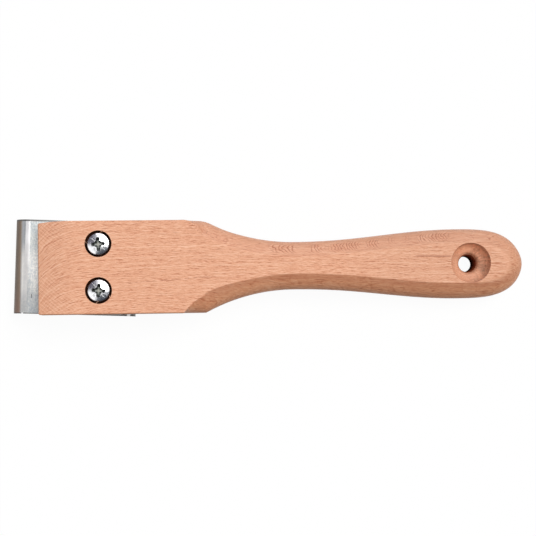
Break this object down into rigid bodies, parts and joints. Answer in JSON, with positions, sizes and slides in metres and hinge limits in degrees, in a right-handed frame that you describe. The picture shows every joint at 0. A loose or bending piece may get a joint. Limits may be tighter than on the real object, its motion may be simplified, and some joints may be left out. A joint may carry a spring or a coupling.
{
  "type": "hand scraper",
  "caption": "Pull scraper: a shaped beech handle with a hanging hole, and a reversible hooked steel blade clamped under its head by recessed cross-head screws.",
  "frame": {"origin": "axis of the hanging hole, in the plane of the handle's underside", "axes": "+X along the handle away from the blade, +Y to the left of someone looking along +X from the blade, +Z out of the face with the screw heads"},
  "size_m": [0.2697, 0.0526, 0.032],
  "materials": {
    "beech": "fine sanded, unvarnished",
    "blade_steel": "mottled grey steel sheet, browned at the bends, with bright ground edges",
    "zinc_plate": "zinc-coated sheet, slightly dull",
    "zinc_fasteners": "bright zinc plating"
  },
  "bodies": {
    "tool": {"handle": "beech"},
    "clamp": {"clamp_plate": "zinc_plate", "clamp_nuts": "zinc_fasteners"},
    "cutter": {"blade": "blade_steel"},
    "left_screw": {"screw_left": "zinc_fasteners"},
    "right_screw": {"screw_right": "zinc_fasteners"}
  },
  "joints": [
    {"name": "clamp_release", "type": "slide", "parent": "tool", "child": "clamp", "axis": [0, 0, -1], "range_m": [0, 0.002]},
    {"name": "left_screw_turn", "type": "hinge", "parent": "tool", "child": "left_screw", "pos_m": [-0.1945, 0.012, 0.0148], "axis": [0, 0, 1], "range_deg": [0, 720]},
    {"name": "right_screw_turn", "type": "hinge", "parent": "tool", "child": "right_screw", "pos_m": [-0.1945, -0.012, 0.0148], "axis": [0, 0, 1], "range_deg": [0, 720]},
    {"name": "blade_square", "type": "hinge", "parent": "clamp", "child": "cutter", "pos_m": [-0.1945, 0, -0.0015], "axis": [0, 0, 1], "range_deg": [0, 4.6]}
  ],
  "couplings": [
    {"joint": "left_screw_turn", "follows": "clamp_release", "rad_per_m": 6283.2},
    {"joint": "right_screw_turn", "follows": "clamp_release", "rad_per_m": 6283.2}
  ]
}
